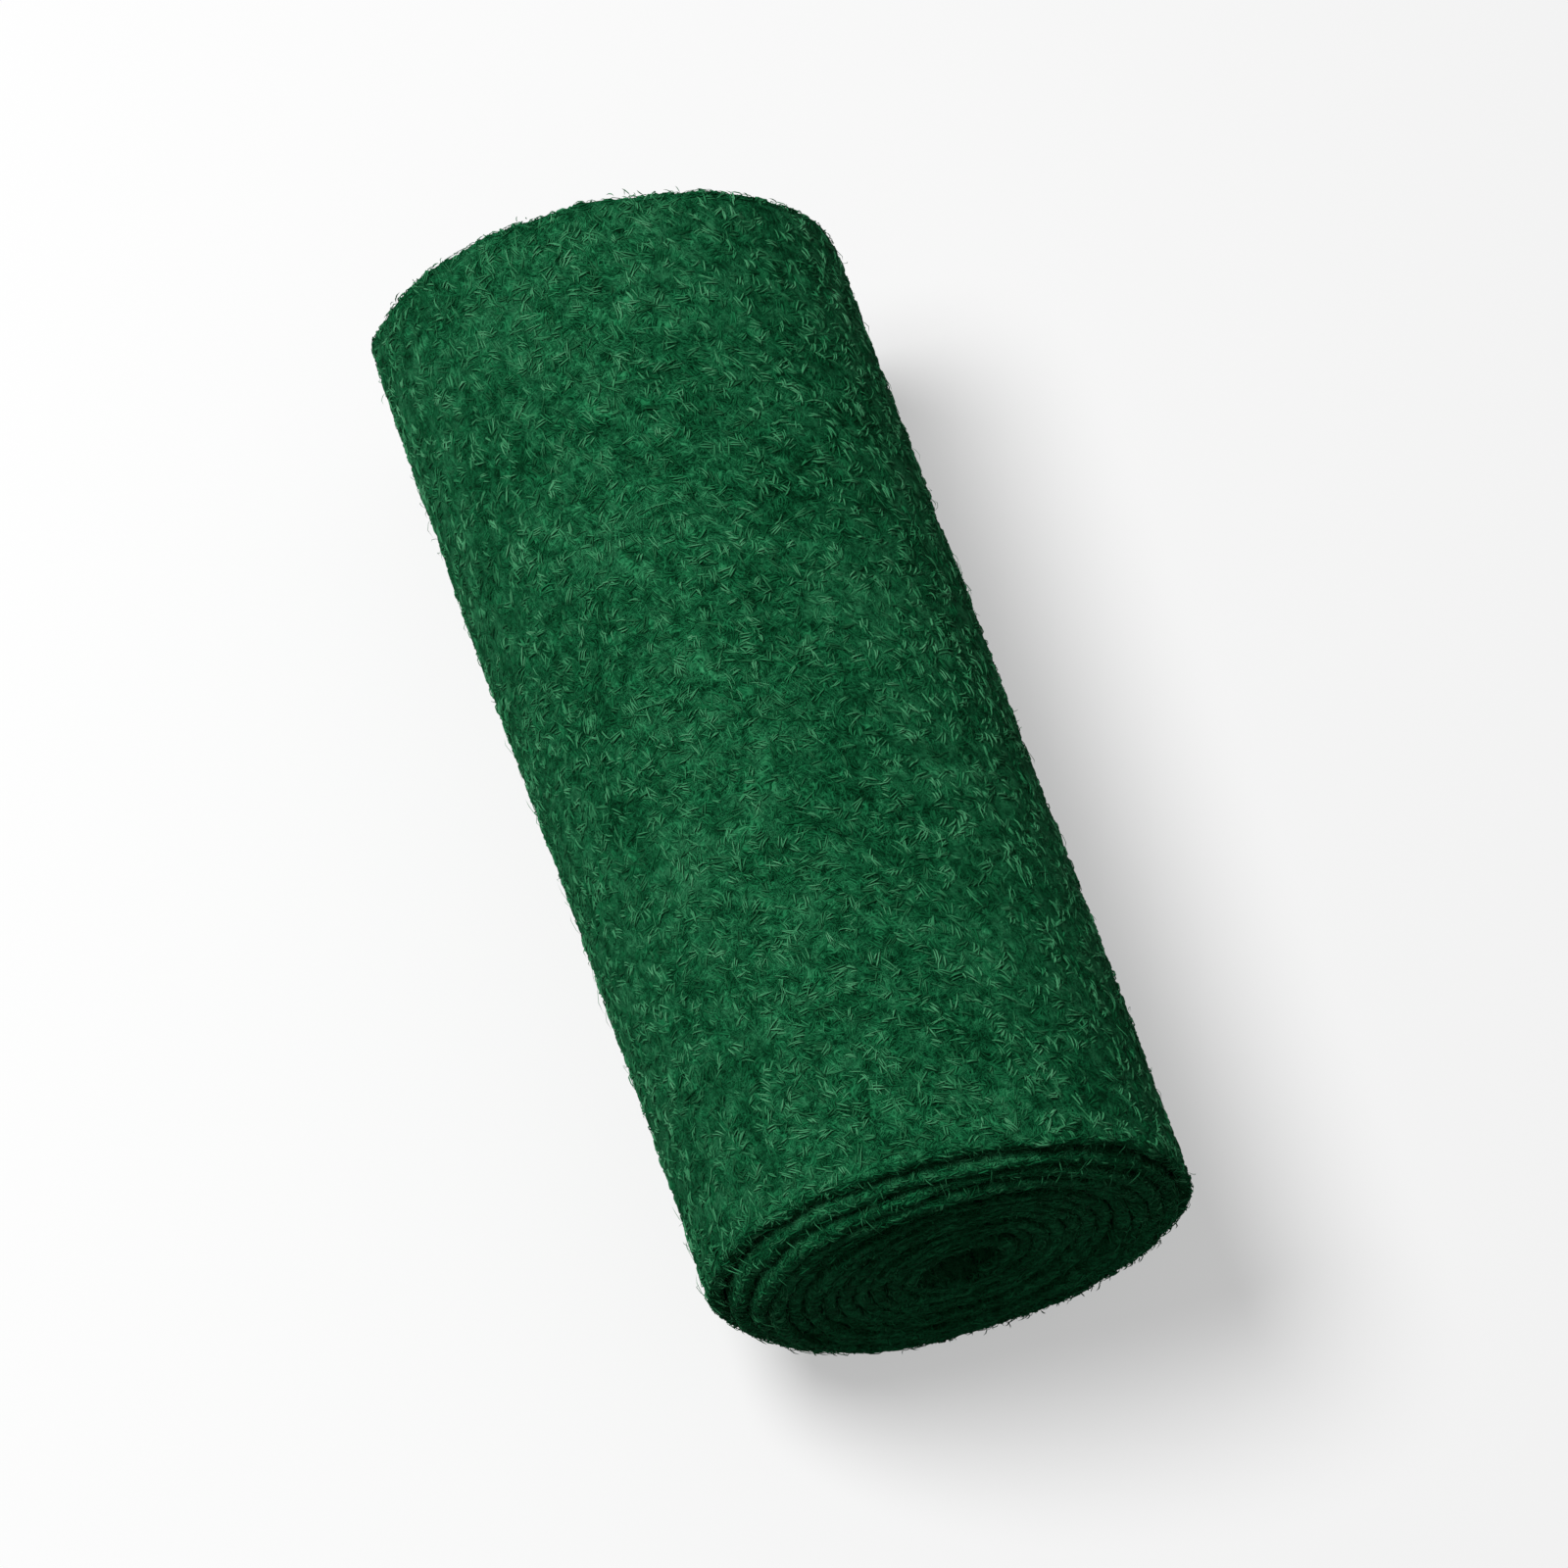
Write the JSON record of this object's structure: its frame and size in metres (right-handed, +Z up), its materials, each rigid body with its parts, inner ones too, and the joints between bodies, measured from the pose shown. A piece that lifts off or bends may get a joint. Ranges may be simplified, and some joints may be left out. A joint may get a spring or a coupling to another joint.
{
  "type": "roll of grass seed mat",
  "caption": "Strip of thin needled fibre mat wound into a soft cylindrical roll with a round bore, its turns showing on both ends and its loose end tucked underneath.",
  "frame": {"origin": "on the floor under the middle of the roll as it lies", "axes": "+Y along the roll's axis, away from the near end; +X to the right when looking at the near end; +Z up"},
  "size_m": [0.1352, 0.313, 0.1336],
  "materials": {
    "fibre_mat": "matte needled fibre, dark green"
  },
  "bodies": {
    "root": {"rolled_mat": "fibre_mat"}
  },
  "joints": []
}
